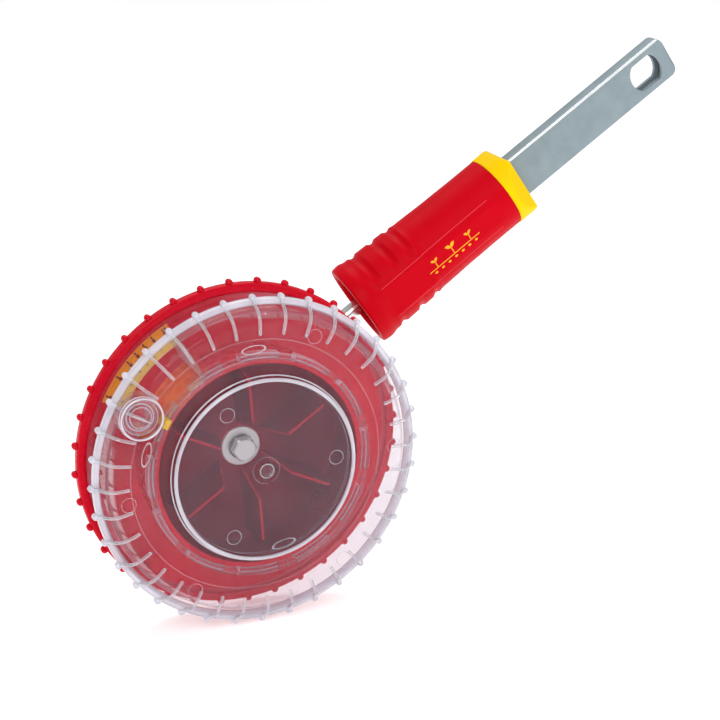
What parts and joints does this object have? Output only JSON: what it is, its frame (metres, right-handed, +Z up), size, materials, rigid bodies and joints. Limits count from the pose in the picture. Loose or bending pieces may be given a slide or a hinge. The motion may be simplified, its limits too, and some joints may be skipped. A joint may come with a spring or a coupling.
{
  "type": "seed sower wheel",
  "caption": "Hand seed sower head: a clear-fronted seed wheel with lugs on a cranked steel arm, with a grip sleeve and a flat tongue for a long garden handle.",
  "frame": {"origin": "on the wheel's axle, midway between the clear and the red tread rings", "axes": "+Z up in use; the axle lies along Y and the clear front faces -Y; the handle leans up towards +X"},
  "size_m": [0.3069, 0.0885, 0.2361],
  "materials": {
    "red_plastic": "glossy moulded, slightly mottled",
    "yellow_plastic": "satin moulded",
    "clear_plastic": "clear polystyrene, polished mould",
    "orange_label": "printed film",
    "zinc_steel": "zinc plated, faintly greenish",
    "bright_steel": "bright zinc plated",
    "grey_steel": "satin grey galvanised",
    "pin_steel": "spring steel, oiled",
    "brass": "turned",
    "dark_plastic": "glass-filled nylon"
  },
  "bodies": {
    "handle": {"tongue": "grey_steel", "tongue_pin": "pin_steel", "collar_ring": "yellow_plastic", "grip_sleeve": "red_plastic", "core_insert": "dark_plastic", "arm_rod": "bright_steel", "arm_pin": "pin_steel", "axle_bolt": "zinc_steel", "spring_washer": "zinc_steel", "front_washer": "zinc_steel", "bearing_bush": "brass", "thrust_washer": "zinc_steel", "rear_washer": "zinc_steel", "lock_nut": "zinc_steel"},
    "wheel": {"rear_disc": "red_plastic", "scale_label": "orange_label"},
    "cover": {"clear_cover": "clear_plastic", "click_key": "yellow_plastic"},
    "plug": {"filler_plug": "clear_plastic"}
  },
  "joints": [
    {"name": "wheel_spin", "type": "hinge", "parent": "handle", "child": "wheel", "pos_m": [0, 0, 0], "axis": [0, -1, 0], "continuous": true},
    {"name": "cover_turn", "type": "hinge", "parent": "wheel", "child": "cover", "pos_m": [0, 0, 0], "axis": [0, -1, 0], "range_deg": [-27, 0]},
    {"name": "plug_pull", "type": "slide", "parent": "cover", "child": "plug", "axis": [0, -1, 0], "range_m": [0, 0.012]}
  ]
}
